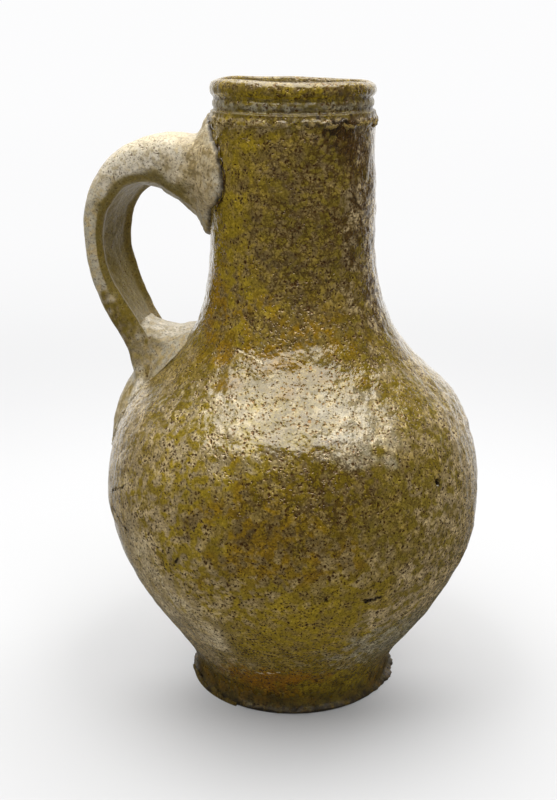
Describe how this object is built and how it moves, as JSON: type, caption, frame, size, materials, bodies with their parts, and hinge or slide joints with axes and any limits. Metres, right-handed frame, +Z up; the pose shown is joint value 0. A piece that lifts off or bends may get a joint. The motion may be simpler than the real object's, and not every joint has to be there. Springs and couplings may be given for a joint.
{
  "type": "stoneware jug",
  "caption": "Salt-glazed stoneware jug: round belly on a narrow foot, tall neck with a grooved rim, and a strap handle from neck to shoulder.",
  "frame": {"origin": "centre of the flat wire-cut base, on the surface that the jug stands on", "axes": "+Z up through the mouth, -X towards the handle"},
  "size_m": [0.1296, 0.1238, 0.2007],
  "materials": {
    "vessel_glaze": "salt glaze, mottled olive and ochre over grey, orange-peel texture with brown pinholes",
    "handle_glaze": "thin salt glaze, grey-beige with brown pinholes",
    "join_slip": "rough, dark olive-brown",
    "wad_glaze": "thin pale salt glaze"
  },
  "bodies": {
    "root": {"vessel": "vessel_glaze", "strap_handle": "handle_glaze", "upper_join_slip": "join_slip", "lower_join_slip": "join_slip", "lower_join_wad": "wad_glaze"}
  },
  "joints": []
}
